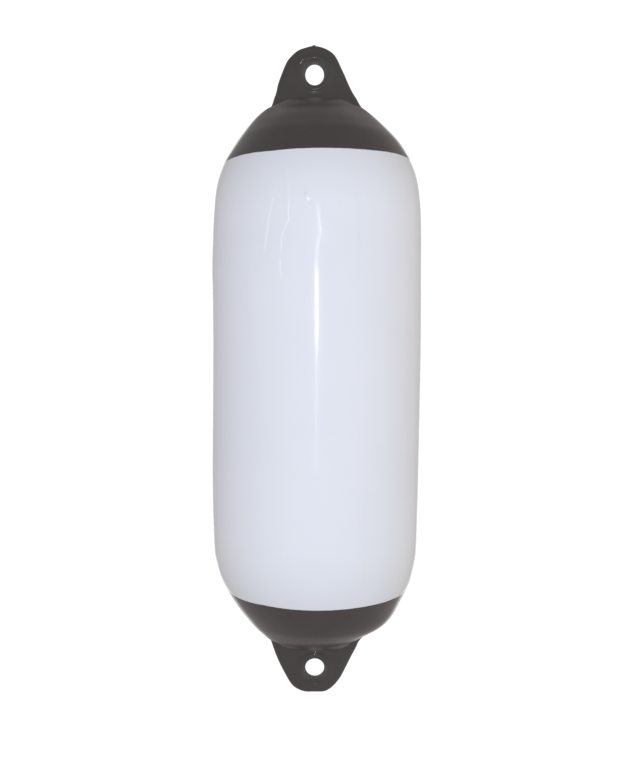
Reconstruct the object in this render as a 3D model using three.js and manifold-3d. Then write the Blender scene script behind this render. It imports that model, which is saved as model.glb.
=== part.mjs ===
// Inflatable boat fender with a moulded rope eye at each end.
// Millimetres, +Z up. The origin is the centre of the top eye. The lugs lie in the XZ
// plane and both eyes run along Y.
import * as THREE from 'three';
import { mergeVertices } from 'three/addons/utils/BufferGeometryUtils.js';
import Module from 'manifold-3d';

// ---------------------------------------------------------------- driving dimensions
const BOTTOM_EYE_Z = -594.9;      // centre of the lower eye below the upper one
const LUG_THICKNESS = 16;         // plate of each lug
const LUG_BEVEL = 5.5;            // rounding of the plate's outer edge
const LUG_EMBED = 24;             // how far the plate runs on inside the dome
const RING_HEIGHT = 2.2;          // eye ring above the plate, each side
const RING_R = 18.0;              // outer foot of the eye ring
const RING_LAND_R = 16.0;         // outer edge of the ring's flat land
const EYE_LIP = 2.6;              // rounding where the eye opens into the land
const TOP_EYE = { rx: 9.6, rz: 11.9 };
const BOTTOM_EYE = { rx: 9.7, rz: 10.9 };
const NUB = { x: -1.0, z: 29.4, r: 2.6 };   // trimmed moulding nub on the upper lug's tip

const TOP_SHELF_Z = -27.2;        // flattened shoulder around the root of the upper lug
const BOTTOM_SHELF_Z = -570.5;    // the same at the lower end
const SHELF_HALF = 25;            // half-width of the shoulder, nearly square in plan
const SHELF_BLEND_R = 44;         // radius where the shoulder has become round

const SEGMENTS = 56;              // facets around the body

// Air valve in the top dome, behind the upper lug, square to the dome's surface. Its
// heights are along its own axis, from the point where that axis leaves the dome.
const VALVE_Y = 59.5;
const VALVE_Z = -44.6;
const VALVE_TILT = 43;            // degrees between the valve's axis and the fender's
const SEAT_R = 14.6;              // moulded seat around the valve
const SEAT_TOP = 3.0;
const SEAT_EMBED = 12;
const FLANGE_R = 10.2;
const FLANGE_T = 1.8;
const FLANGE_FLOOR = 1.0;         // floor of the recess that the flange lies in
const BARREL_R = 6.2;
const BARREL_END = -16;
const BARB_R = 7.0;               // ribs that hold the bush in the skin
const GAP = 0.3;                  // clearance between touching pieces
const PLUG_HEAD_R = 5.6;
const PLUG_HEAD_T = 2.2;
const PLUG_SHANK_R = 3.4;
const PLUG_LENGTH = 11;
const SLOT_W = 1.4;
const SLOT_DEPTH = 1.2;

// Body profile from the top shoulder to the bottom one: [z, radius, centre shift in X].
const BODY = [
  [-36.2, 49.2, 0.7], [-40, 54.4, 0.6], [-44, 58.9, 0.7], [-50, 65.0, 1.3],
  [-60, 74.2, 2.6], [-70, 82.1, 3.5], [-80, 88.6, 3.5], [-90, 93.9, 3.3],
  [-100, 97.6, 3.3], [-112, 100.6, 3.0], [-130, 102.7, 3.0], [-155, 104.0, 2.7],
  [-190, 104.6, 2.1], [-240, 104.4, 2.3], [-300, 104.2, 1.9], [-350, 104.0, 1.3],
  [-400, 103.9, 0.7], [-440, 103.0, 0.7], [-465, 102.3, 0.7], [-480, 101.1, 1.0],
  [-490, 98.9, 1.3], [-500, 95.9, 1.6], [-510, 91.7, 2.0], [-520, 86.3, 2.6],
  [-530, 80.8, 3.3], [-540, 73.7, 4.4], [-548, 66.0, 3.6], [-554, 56.6, 0.6],
  [-560.5, 48.6, -1.0],
];

// Outlines of the lugs, from the left foot round the tip to the right foot: [x, z].
const TOP_LUG = [
  [-45.5, -33.5], [-42.9, -30.0], [-40.5, -24.2], [-38.4, -18.2], [-36.5, -9.6],
  [-33.4, -0.8], [-29.8, 8.0], [-26.7, 13.9], [-21.3, 19.8], [-15.8, 23.9],
  [-8.3, 26.5], [-1.0, 28.0], [7.2, 26.6], [13.8, 23.8], [19.1, 19.8], [23.1, 13.9],
  [25.8, 8.0], [30.0, -0.8], [33.8, -9.6], [38.0, -18.2], [41.6, -24.0],
  [45.2, -29.5], [49.4, -34.5],
];
const BOTTOM_LUG = [
  [-48.0, -562.5], [-44.6, -566.6], [-42.4, -573.0], [-39.1, -582.5], [-34.5, -592.8],
  [-29.1, -603.0], [-25.5, -609.2], [-22.2, -613.3], [-16.9, -616.9], [-9.6, -619.3],
  [-1.0, -619.4], [8.8, -619.2], [14.6, -616.8], [19.0, -613.3], [22.7, -609.2],
  [27.1, -603.0], [32.3, -592.8], [37.4, -582.5], [42.3, -573.0], [44.6, -567.6],
  [48.5, -563.0],
];

// ---------------------------------------------------------------- solids helpers
const wasm = await Module();
wasm.setup();

function solid(geometry) {
  const g = geometry.index ? geometry.toNonIndexed() : geometry.clone();
  g.deleteAttribute('normal');
  g.deleteAttribute('uv');
  const merged = mergeVertices(g, 1e-4);
  const index = merged.index.array;
  const tris = [];
  for (let i = 0; i < index.length; i += 3) {
    const [a, b, c] = [index[i], index[i + 1], index[i + 2]];
    if (a !== b && b !== c && c !== a) tris.push(a, b, c);
  }
  return new wasm.Manifold(new wasm.Mesh({
    numProp: 3,
    vertProperties: new Float32Array(merged.attributes.position.array),
    triVerts: new Uint32Array(tris),
  }));
}

function geometryOf(manifold) {
  const mesh = manifold.getMesh();
  const g = new THREE.BufferGeometry();
  g.setAttribute('position', new THREE.BufferAttribute(new Float32Array(mesh.vertProperties), 3));
  g.setIndex(new THREE.BufferAttribute(new Uint32Array(mesh.triVerts), 1));
  g.computeVertexNormals();
  return g;
}

// A lathe around Z: points are [radius, z] with z rising, so that its faces point out.
function latheZ(points, segments) {
  const g = new THREE.LatheGeometry(points.map(([r, z]) => new THREE.Vector2(r, z)), segments);
  g.rotateX(Math.PI / 2);
  return g;
}

// A lathe around Y, for what runs through a lug.
function latheY(points, segments) {
  return new THREE.LatheGeometry(points.map(([r, y]) => new THREE.Vector2(r, y)), segments);
}

// ---------------------------------------------------------------- fender body
// Each ring of the body is a circle about a slightly wandering centre line. Towards the
// lugs the rings turn into the nearly square shoulder.
function bodyGeometry() {
  const rings = [];
  const shelf = (zShelf, zBlend) => [
    [zShelf, 0.0, 0.0], [zShelf, SHELF_HALF * 0.55, 0.0], [zShelf, SHELF_HALF - 1.5, 0.0],
    [zShelf + (zBlend - zShelf) * 0.07, SHELF_HALF + 1, 0.0],
    [zShelf + (zBlend - zShelf) * 0.38, SHELF_HALF + 8.5, 0.2],
    [zShelf + (zBlend - zShelf) * 0.70, SHELF_HALF + 16.5, 0.4],
  ];
  const bottom = BODY[BODY.length - 1];
  rings.push(...shelf(BOTTOM_SHELF_Z, bottom[0]));
  for (let i = BODY.length - 1; i >= 0; i--) rings.push(BODY[i]);
  rings.push(...shelf(TOP_SHELF_Z, BODY[0][0]).reverse());
  const g = latheZ(rings.map(([z, r]) => [r, z]), SEGMENTS);
  const position = g.attributes.position;
  const perRing = rings.length;
  for (let i = 0; i < position.count; i++) {
    const ring = rings[i % perRing];
    const [z, r, shift] = ring;
    if (r === 0) { position.setXYZ(i, 0, 0, z); continue; }
    const angle = (Math.floor(i / perRing) % SEGMENTS) * 2 * Math.PI / SEGMENTS;
    const c = Math.cos(angle), s = Math.sin(angle);
    const square = 1 - THREE.MathUtils.smoothstep(r, SHELF_HALF, SHELF_BLEND_R);
    const n = 2 + 4 * square;
    const stretch = Math.pow(Math.pow(Math.abs(c), n) + Math.pow(Math.abs(s), n), -1 / n);
    position.setXYZ(i, shift + r * stretch * c, r * stretch * s, z);
  }
  return g;
}

// ---------------------------------------------------------------- lugs
function lugGeometry(outline, footZ) {
  const side = Math.sign(outline[Math.floor(outline.length / 2)][1] - footZ);
  const first = outline[0], last = outline[outline.length - 1];
  const points = [
    [first[0] * 0.86, first[1] - side * LUG_EMBED], ...outline,
    [last[0] * 0.86, last[1] - side * LUG_EMBED],
  ].map(([x, z]) => new THREE.Vector2(x, z));
  if (THREE.ShapeUtils.area(points) < 0) points.reverse();
  // The shape is drawn inside the outline by the bevel, so that the bevel ends on it.
  const inner = insetLoop(points, LUG_BEVEL);
  const g = new THREE.ExtrudeGeometry(new THREE.Shape(inner), {
    depth: LUG_THICKNESS - 2 * LUG_BEVEL, steps: 1, curveSegments: 1,
    bevelEnabled: true, bevelThickness: LUG_BEVEL, bevelSize: LUG_BEVEL, bevelSegments: 3,
  });
  g.translate(0, 0, -(LUG_THICKNESS / 2 - LUG_BEVEL));
  g.rotateX(Math.PI / 2);
  return g;
}

function insetLoop(points, distance) {
  const n = points.length;
  return points.map((p, i) => {
    const a = points[(i + n - 1) % n], b = points[(i + 1) % n];
    const e1 = p.clone().sub(a).normalize(), e2 = b.clone().sub(p).normalize();
    const n1 = new THREE.Vector2(-e1.y, e1.x), n2 = new THREE.Vector2(-e2.y, e2.x);
    const m = n1.clone().add(n2).normalize();
    return p.clone().addScaledVector(m, distance / Math.max(0.5, m.dot(n1)));
  });
}

function ringGeometry(eye, centerZ) {
  const half = LUG_THICKNESS / 2 + RING_HEIGHT;
  const foot = LUG_THICKNESS / 2 - 1.0;
  const g = latheY([
    [0, -half], [RING_LAND_R, -half], [RING_R - 1.0, -half + 0.5], [RING_R - 0.2, -half + 1.3],
    [RING_R + 0.6, -foot], [RING_R + 0.6, foot],
    [RING_R - 0.2, half - 1.3], [RING_R - 1.0, half - 0.5], [RING_LAND_R, half], [0, half],
  ], 40);
  g.translate(0, 0, centerZ);
  return g;
}

// The eye's throat: an oval hole that opens with a round lip on both faces.
function throatGeometry(eye, centerZ) {
  const half = LUG_THICKNESS / 2 + RING_HEIGHT;
  const lip = (k) => {
    const a = k * Math.PI / 2;
    return [eye.rx + EYE_LIP * (1 - Math.cos(a)), half - EYE_LIP + EYE_LIP * Math.sin(a)];
  };
  const upper = [lip(0), lip(1 / 3), lip(2 / 3), lip(1)];
  const points = [
    [0, -half - 5], [upper[3][0], -half - 5],
    ...upper.map(([r, y]) => [r, -y]).reverse(), ...upper,
    [upper[3][0], half + 5], [0, half + 5],
  ];
  const g = latheY(points, 40);
  g.scale(1, 1, eye.rz / eye.rx);
  g.translate(0, 0, centerZ);
  return g;
}

function nubGeometry() {
  const g = latheZ([
    [0, NUB.z - 7], [NUB.r, NUB.z - 7], [NUB.r, NUB.z - 1.5], [NUB.r * 0.45, NUB.z - 0.2],
    [0, NUB.z],
  ], 12);
  g.translate(NUB.x, 0, 0);
  return g;
}

// ---------------------------------------------------------------- valve
const valveFrame = new THREE.Group();
valveFrame.position.set(0, VALVE_Y, VALVE_Z);
valveFrame.rotation.x = -THREE.MathUtils.degToRad(VALVE_TILT);
valveFrame.updateMatrixWorld(true);

const flangeBottom = FLANGE_FLOOR + GAP;
const flangeTop = flangeBottom + FLANGE_T;

function seatGeometry() {
  const g = latheZ([
    [0, -SEAT_EMBED], [SEAT_R - 1.5, -SEAT_EMBED], [SEAT_R + 1.2, -3.0], [SEAT_R + 0.3, 0.2],
    [SEAT_R - 0.3, SEAT_TOP - 0.9], [SEAT_R - 1.3, SEAT_TOP], [0, SEAT_TOP],
  ], 36);
  return g.applyMatrix4(valveFrame.matrixWorld);
}

// The recess for the flange and, below it, the bore that the ribbed barrel is pressed into.
function pocketGeometry() {
  const g = latheZ([
    [0, BARREL_END - 1.2], [BARB_R + GAP, BARREL_END - 1.2], [BARB_R + GAP, -4.2],
    [BARREL_R + GAP, -3.4], [BARREL_R + GAP, FLANGE_FLOOR], [FLANGE_R + GAP, FLANGE_FLOOR],
    [FLANGE_R + GAP + 0.5, SEAT_TOP + 0.02], [FLANGE_R + 1.6, SEAT_TOP + 4], [0, SEAT_TOP + 4],
  ], 32);
  return g.applyMatrix4(valveFrame.matrixWorld);
}

function valveBodySolid() {
  const end = BARREL_END;
  const outer = latheZ([
    [0, end], [BARREL_R - 0.8, end], [BARB_R, end + 2.2], [BARREL_R - 0.3, end + 2.6],
    [BARB_R, end + 5.8], [BARREL_R - 0.3, end + 6.2], [BARB_R, end + 9.4],
    [BARREL_R, end + 9.8], [BARREL_R, flangeBottom], [FLANGE_R, flangeBottom],
    [FLANGE_R, flangeTop - 0.5], [FLANGE_R - 0.6, flangeTop], [0, flangeTop],
  ], 32);
  const bore = latheZ([
    [0, end - 2], [1.6, end - 2], [1.6, end + 4.0],
    [PLUG_SHANK_R + GAP, end + 5.0], [PLUG_SHANK_R + GAP, flangeTop + 3], [0, flangeTop + 3],
  ], 24);
  return solid(outer).subtract(solid(bore));
}

function valvePlugSolid() {
  const bottom = flangeTop + GAP;
  const top = bottom + PLUG_HEAD_T;
  const body = latheZ([
    [0, bottom - PLUG_LENGTH], [PLUG_SHANK_R - 0.9, bottom - PLUG_LENGTH],
    [PLUG_SHANK_R, bottom - PLUG_LENGTH + 1.0], [PLUG_SHANK_R, bottom],
    [PLUG_HEAD_R, bottom], [PLUG_HEAD_R, top - 0.5], [PLUG_HEAD_R - 0.5, top], [0, top],
  ], 24);
  const slot = new THREE.BoxGeometry(3 * PLUG_HEAD_R, SLOT_W, 2 * SLOT_DEPTH);
  slot.translate(0, 0, top);
  return solid(body).subtract(solid(slot));
}

// ---------------------------------------------------------------- assembly
const skinSolid = solid(bodyGeometry())
  .add(solid(lugGeometry(TOP_LUG, -33)))
  .add(solid(lugGeometry(BOTTOM_LUG, -563)))
  .add(solid(ringGeometry(TOP_EYE, 0)))
  .add(solid(ringGeometry(BOTTOM_EYE, BOTTOM_EYE_Z)))
  .add(solid(nubGeometry()))
  .add(solid(seatGeometry()))
  .subtract(solid(throatGeometry(TOP_EYE, 0)))
  .subtract(solid(throatGeometry(BOTTOM_EYE, BOTTOM_EYE_Z)))
  .subtract(solid(pocketGeometry()));

const skin = new THREE.Mesh(geometryOf(skinSolid), new THREE.MeshStandardMaterial({
  color: 0xe2e6ee, roughness: 0.22, metalness: 0,
}));
skin.name = 'fender_skin';

const valveBody = new THREE.Mesh(geometryOf(valveBodySolid()), new THREE.MeshStandardMaterial({
  color: 0x2b2a2a, roughness: 0.45, metalness: 0,
}));
valveBody.name = 'valve_body';

const valvePlug = new THREE.Mesh(geometryOf(valvePlugSolid()), new THREE.MeshStandardMaterial({
  color: 0xd9dadb, roughness: 0.4, metalness: 0,
}));
valvePlug.name = 'valve_plug';
valveFrame.add(valveBody, valvePlug);

const fender = new THREE.Group();
fender.add(skin, valveFrame);

export default fender;
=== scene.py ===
"""Inflatable boat fender, hanging in front of a pale studio sweep."""
import math

import bpy
import numpy as np
from mathutils import Matrix, Vector


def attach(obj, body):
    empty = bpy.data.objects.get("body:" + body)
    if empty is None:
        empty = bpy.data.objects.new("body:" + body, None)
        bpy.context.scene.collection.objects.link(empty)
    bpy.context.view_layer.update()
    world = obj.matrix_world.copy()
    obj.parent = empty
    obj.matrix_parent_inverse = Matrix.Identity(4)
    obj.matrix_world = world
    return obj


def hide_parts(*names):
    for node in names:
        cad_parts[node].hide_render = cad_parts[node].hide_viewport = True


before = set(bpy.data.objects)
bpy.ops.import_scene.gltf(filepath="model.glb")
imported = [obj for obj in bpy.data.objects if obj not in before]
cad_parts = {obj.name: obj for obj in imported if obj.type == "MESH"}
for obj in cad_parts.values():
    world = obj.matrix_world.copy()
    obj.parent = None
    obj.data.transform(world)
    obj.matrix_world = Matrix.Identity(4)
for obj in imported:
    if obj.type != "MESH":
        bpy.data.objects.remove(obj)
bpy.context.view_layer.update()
MM = 0.001

# ------------------------------------------------------------------ camera
cam_data = bpy.data.cameras.new("camera")
cam_data.sensor_fit = "AUTO"
cam_data.sensor_width = 36.0
cam_data.lens = 36.0 * 1050.0 / 760.0
cam_data.clip_start = 0.05
cam_data.clip_end = 100.0
cam_data.dof.use_dof = False
camera = bpy.data.objects.new("camera", cam_data)
bpy.context.scene.collection.objects.link(camera)
camera.location = (0.004316, -1.054, -0.26097)
camera.rotation_euler = (math.radians(90.0) - math.atan(42.0 / 1050.0), 0.0, 0.0)
bpy.context.scene.camera = camera

# ------------------------------------------------------------------ shape tables, mm
# Body from the top shoulder to the bottom one: z, radius, centre shift in X.
BODY = np.array([
    (-36.2, 49.2, 0.7), (-38.0, 51.8, 0.65), (-40.0, 54.3, 0.6), (-44.0, 58.9, 0.7), (-48.0, 63.1, 1.1),
    (-52.0, 67.0, 1.55), (-56.0, 70.7, 2.05), (-60.0, 74.15, 2.6), (-65.0, 78.3, 3.1), (-70.0, 82.1, 3.5),
    (-75.0, 85.5, 3.55), (-80.0, 88.55, 3.5), (-85.0, 91.45, 3.35), (-90.0, 93.85, 3.27), (-95.0, 95.9, 3.3),
    (-100.0, 97.6, 3.28), (-105.0, 99.1, 3.18), (-110.0, 100.2, 3.04), (-120.0, 101.75, 2.97),
    (-130.0, 102.7, 2.99), (-140.0, 103.35, 2.95), (-150.0, 103.8, 2.76), (-165.0, 104.2, 2.6),
    (-180.0, 104.5, 2.25), (-195.0, 104.6, 2.1), (-220.0, 104.45, 2.3), (-250.0, 104.35, 2.3),
    (-280.0, 104.3, 2.1), (-300.0, 104.2, 1.86), (-330.0, 104.1, 1.5), (-360.0, 103.98, 1.15),
    (-390.0, 103.9, 0.8), (-420.0, 103.5, 0.72), (-440.0, 103.0, 0.66), (-455.0, 102.6, 0.7),
    (-465.0, 102.25, 0.75), (-475.0, 101.65, 0.82), (-485.0, 100.0, 1.17), (-495.0, 97.6, 1.25),
    (-505.0, 94.25, 2.05), (-515.0, 89.05, 2.3), (-525.0, 83.4, 2.8), (-535.0, 77.3, 3.9),
    (-540.0, 73.5, 4.4), (-545.0, 69.1, 4.0), (-550.0, 63.4, 2.9), (-554.0, 57.4, 0.9), (-558.0, 51.9, -0.6),
    (-560.5, 48.6, -0.9),
])
TOP_SHELF_Z, BOTTOM_SHELF_Z = -27.2, -570.5
TOP_LUG = [
    (-44.4, -33.5), (-42.3, -30.0), (-40.5, -24.2), (-38.4, -18.2), (-36.5, -9.6), (-33.4, -0.8),
    (-29.8, 8.0), (-26.7, 13.9), (-21.3, 19.8), (-15.8, 23.9), (-8.3, 26.5), (-1.0, 28.0), (7.2, 26.6),
    (13.8, 23.8), (19.1, 19.8), (23.1, 13.9), (25.8, 8.0), (30.0, -0.8), (33.8, -9.6), (38.0, -18.2),
    (41.6, -24.0), (44.6, -29.5), (48.0, -34.5)]
BOTTOM_LUG = [
    (-48.0, -562.5), (-44.6, -566.6), (-42.4, -573.0), (-39.1, -582.5), (-34.5, -592.8), (-29.1, -603.0),
    (-25.5, -609.2), (-22.2, -613.3), (-16.9, -616.9), (-9.6, -619.3), (-1.0, -619.4), (8.8, -619.2),
    (14.6, -616.8), (19.0, -613.3), (22.7, -609.2), (27.1, -603.0), (32.3, -592.8), (37.4, -582.5),
    (42.3, -573.0), (44.6, -567.6), (48.5, -563.0)]
HALF_PLATE = 8.0
RING_TOP = 10.2
FLARE = 5.0                               # how much wider the eye is at its faces than half way through
BOTTOM_EYE_Z = -594.9
TOP_CUT, BOTTOM_CUT = -64.0, -546.0      # where the fine ends meet the body grid
VALVE_P = (0.0, 59.5, -44.6)
VALVE_TILT = math.radians(43.0)

# Fine creases of the taut skin: (X, z) along each, how far its wall turns past facing forward in degrees, and width in mm.
CREASES = [
    ([(-35.0, -121.5), (-36.6, -128.0), (-39.2, -137.4), (-42.2, -157.5), (-44.3, -176.5), (-46.0, -186.0)], 0.9, 1.30, [(-130.5, 1.2)]),
    ([(-24.6, -115.0), (-24.0, -124.0), (-23.6, -137.0), (-23.6, -152.5), (-25.4, -158.5), (-28.3, -165.5),
      (-29.4, -174.0), (-29.6, -183.0), (-30.4, -191.0), (-29.8, -203.0), (-28.4, -214.0)], 0.9, 1.55, [(-185.5, 3.0)]),
]
# Low swellings: X, z, half-widths in X and z, height, all mm.
SWELLS = [(-6.9, -132.0, 2.5, 3.6, 0.55), (18.0, -163.0, 12.0, 13.0, 0.50)]


def pchip(x, y, xq):
    """Monotone cubic through the points x, y, with x rising."""
    x, y = np.asarray(x, float), np.asarray(y, float)
    h = np.diff(x)
    d = np.diff(y) / h
    m = np.zeros_like(y)
    s = d[:-1] * d[1:] > 0
    w1, w2 = 2 * h[1:] + h[:-1], h[1:] + 2 * h[:-1]
    with np.errstate(divide="ignore", invalid="ignore"):
        inner = (w1 + w2) / (w1 / d[:-1] + w2 / d[1:])
    m[1:-1] = np.where(s, inner, 0.0)
    m[0], m[-1] = d[0], d[-1]
    xq = np.clip(xq, x[0], x[-1])
    i = np.clip(np.searchsorted(x, xq) - 1, 0, len(h) - 1)
    t = (xq - x[i]) / h[i]
    a, b = y[i], y[i + 1]
    return (a * (1 + 2 * t) * (1 - t) ** 2 + m[i] * h[i] * t * (1 - t) ** 2
            + b * t * t * (3 - 2 * t) - m[i + 1] * h[i] * t * t * (1 - t))


def dense(z, v, lo, hi, n, sigma):
    zz = np.linspace(lo, hi, n)
    vv = pchip(z, v, zz)
    k = np.arange(-4 * sigma, 4 * sigma + 1)
    w = np.exp(-0.5 * (k / sigma) ** 2)
    w /= w.sum()
    pad = 4 * sigma
    head = vv[0] + (vv[1] - vv[0]) * np.arange(-pad, 0)
    tail = vv[-1] + (vv[-1] - vv[-2]) * np.arange(1, pad + 1)
    return zz, np.convolve(np.concatenate([head, vv, tail]), w, "valid")


zb, rb, cb = BODY[::-1].T
ZT, RT = dense(zb, rb, zb[0], zb[-1], 4000, 12)
_, CT = dense(zb, cb, zb[0], zb[-1], 4000, 25)


def radius(z):
    return np.interp(z, ZT, RT)


def shift(z):
    fade = np.clip(np.minimum(-30.0 - z, z + 567.0) / 6.0, 0, 1)
    return np.interp(z, ZT, CT) * fade


def smoothstep(t):
    t = np.clip(t, 0, 1)
    return t * t * (3 - 2 * t)


# Front of each dome, radius and z: a convex shoulder that falls away sooner than at the sides.
FRONT_TOP = [(25.3, -27.75), (30.0, -29.7), (36.0, -32.65), (42.0, -36.0), (49.2, -40.6), (55.0, -44.7), (63.0, -50.95),
             (70.0, -57.15)]
FRONT_BOTTOM = [(25.3, -570.0), (30.0, -568.6), (36.0, -566.35), (42.0, -563.65), (48.6, -560.1), (55.0, -556.1),
                (62.0, -551.0)]


# Height of each dome over its radius: nearly flat shoulder, then the body's own profile.
def dome_table(shelf_z, side, front=None):
    sel = np.array([r for r in BODY if (r[0] > -100 if side > 0 else r[0] < -505)])
    order = np.argsort(sel[:, 1])
    if front:
        sel = sel[order][sel[order, 1] > front[-1][0] + 6.0]
        r = np.concatenate([[0, 14, 22.5], [p[0] for p in front], sel[:, 1]])
        z = np.concatenate([[shelf_z, shelf_z, shelf_z - side * 0.05], [p[1] for p in front], sel[:, 0]])
    else:
        r = np.concatenate([[0, 14, 22.5, 25.0, 33.5, 41.5, 46.0], sel[order, 1]])
        blend_z = sel[order[0], 0]
        z = np.concatenate([shelf_z + (blend_z - shelf_z) * np.array([0, 0, 0.005, 0.045, 0.36, 0.67, 0.85]), sel[order, 0]])
    rr = np.linspace(0, 97, 2000)
    zz = pchip(r, z, rr)
    k = np.arange(-60, 61)
    w = np.exp(-0.5 * (k / 16.0) ** 2)
    w /= w.sum()
    head = np.full(60, zz[0])
    tail = zz[-1] + (zz[-1] - zz[-2]) * np.arange(1, 61)
    zz = np.convolve(np.concatenate([head, zz, tail]), w, "valid")
    return rr, zz, np.gradient(zz, rr)


DOME_T = dome_table(TOP_SHELF_Z, 1) + dome_table(TOP_SHELF_Z, 1, FRONT_TOP)[1:]
DOME_B = dome_table(BOTTOM_SHELF_Z, -1) + dome_table(BOTTOM_SHELF_Z, -1, FRONT_BOTTOM)[1:]


def square_stretch(x, y, r):
    """How far the shoulder's nearly square plan reaches past its inner circle."""
    n = 2 + 6 * (1 - smoothstep((r - 25.5) / 19.5))
    c, s = np.abs(x) / np.maximum(r, 1e-6), np.abs(y) / np.maximum(r, 1e-6)
    return np.power(np.power(c, n) + np.power(s, n) + 1e-12, -1 / n)


def spline_loop(points, per=8):
    p = np.array(points, float)
    out = []
    for i in range(len(p) - 1):
        a = p[max(i - 1, 0)]
        b, c = p[i], p[i + 1]
        d = p[min(i + 2, len(p) - 1)]
        for t in np.arange(per) / per:
            out.append(0.5 * (2 * b + (c - a) * t + (2 * a - 5 * b + 4 * c - d) * t * t
                              + (3 * b - a - 3 * c + d) * t ** 3))
    out.append(p[-1])
    return np.array(out)


def lug_loop(points, side):
    p = spline_loop(points, 6)
    feet = np.array([[p[-1][0] * 0.86, p[-1][1] - side * 24], [p[0][0] * 0.86, p[0][1] - side * 24]])
    return np.vstack([p, feet])


LOOP_T, LOOP_B = lug_loop(TOP_LUG, 1), lug_loop(BOTTOM_LUG, -1)


def sd_polygon(x, z, loop):
    """Signed distance in the XZ plane to a closed outline, below 0 inside."""
    x, z = np.broadcast_arrays(x, z)
    best = np.full(x.shape, 1e9)
    inside = np.zeros(x.shape, bool)
    n = len(loop)
    for i in range(n):
        ax, az = loop[i]
        bx, bz = loop[(i + 1) % n]
        ex, ez = bx - ax, bz - az
        t = np.clip(((x - ax) * ex + (z - az) * ez) / (ex * ex + ez * ez + 1e-12), 0, 1)
        best = np.minimum(best, (x - ax - t * ex) ** 2 + (z - az - t * ez) ** 2)
        if az != bz:
            inside ^= ((az > z) != (bz > z)) & (x < ex * (z - az) / ez + ax)
    return np.where(inside, -1, 1) * np.sqrt(best)


def smin(a, b, k):
    h = np.maximum(k - np.abs(a - b), 0) / k
    return np.minimum(a, b) - h * h * k * 0.25


def smax(a, b, k):
    return -smin(-a, -b, k)


def rounded(u, v, r):
    """Signed distance of a rounded corner from the two distances u and v."""
    u, v = u + r, v + r
    return np.minimum(np.maximum(u, v), 0) + np.sqrt(np.maximum(u, 0) ** 2 + np.maximum(v, 0) ** 2) - r


def f_dome(x, y, z, table, side):
    cx = shift(z)
    dx = x - cx
    r = np.sqrt(dx * dx + y * y)
    q = r / square_stretch(dx, y, r)
    rr, zz, gg, zf, gf = table
    forward = smoothstep((-y / np.maximum(r, 1e-6) - 0.34) / 0.48)
    h = np.interp(q, rr, zz) * (1 - forward) + np.interp(q, rr, zf) * forward
    g = np.interp(q, rr, gg) * (1 - forward) + np.interp(q, rr, gf) * forward
    return side * (z - h) / np.sqrt(1 + g * g)


def f_lug(x, y, z, loop, eye_z, rx, rz, side):
    d2 = sd_polygon(x, z, loop)
    # The plate is a little thicker towards its root.
    root = smoothstep((-side * (z - eye_z) - 6.0) / 26.0)
    half = HALF_PLATE + 1.6 * root
    plate = rounded(d2 + 0.13, np.abs(y) - half, 6.2)
    ez = z - eye_z
    q = np.sqrt(x * x + ez * ez)
    # The ring is a little wider at the mould's mark, up and to the left of the top eye on the front.
    mark = np.exp(-((x + 12.6) ** 2 + (ez - 10.8) ** 2) / 55.0) * (y < 0) * (side > 0)
    ring = rounded(q - 17.6 - 2.8 * mark, np.abs(y) - RING_TOP, 3.2)
    f = smin(plate, ring, 3.0)
    # Oval throat, narrowest half way through and flaring into a rounded lip on both faces.
    t = np.clip(np.abs(y) / RING_TOP, 0, 1)
    flare = FLARE * (1 - np.sqrt(1 - 0.93 * t * t))
    wide = np.clip(np.abs(y) - RING_TOP, 0, 0.9) * 1.72
    a2, b2 = rx + flare + wide, rz + flare + wide
    k0 = np.sqrt((x / a2) ** 2 + (ez / b2) ** 2)
    k1 = np.sqrt((x / (a2 * a2)) ** 2 + (ez / (b2 * b2)) ** 2) + 1e-9
    slope = FLARE / RING_TOP * 0.93 * t / np.sqrt(1 - 0.93 * t * t)
    hole = k0 * (k0 - 1) / k1 / np.sqrt(1 + slope * slope)
    return f, hole


def valve_local(x, y, z):
    c, s = math.cos(VALVE_TILT), math.sin(VALVE_TILT)
    dy, dz = y - VALVE_P[1], z - VALVE_P[2]
    up = dy * s + dz * c
    side = dy * c - dz * s
    return np.sqrt((x - VALVE_P[0]) ** 2 + side ** 2), up


def f_top(x, y, z):
    f = f_dome(x, y, z, DOME_T, 1)
    lug, hole = f_lug(x, y, z, LOOP_T, 0.0, 9.2, 10.65, 1)
    f = smin(f, lug, 3.4 - 1.9 * smoothstep((np.abs(x) - 34.0) / 8.0))
    q = np.sqrt((x + 0.6) ** 2 + y * y)
    nub = rounded(q - 2.6 + 0.75 * (z - 27.5), z - 29.3, 0.6)
    f = smin(f, np.maximum(nub, 24.0 - z), 1.3)
    f = smax(f, -hole, 2.0)
    vr, vu = valve_local(x, y, z)
    seat = rounded(vr - 14.6, vu - 3.0, 1.3)
    seat = np.maximum(seat, -8.0 - vu)
    f = smin(f, seat, 3.0)
    recess = rounded(vr - 10.6, 1.0 - vu, 0.3)
    bore = np.maximum(vr - 6.6, -17.0 - vu)
    f = smax(f, -recess, 0.7)
    return np.maximum(f, -bore)


def f_bottom(x, y, z):
    f = f_dome(x, y, z, DOME_B, -1)
    lug, hole = f_lug(x, y, z, LOOP_B, BOTTOM_EYE_Z, 9.5, 9.7, -1)
    f = smin(f, lug, 3.4 - 1.9 * smoothstep((np.abs(x) - 34.0) / 8.0))
    return smax(f, -hole, 2.0)


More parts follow.
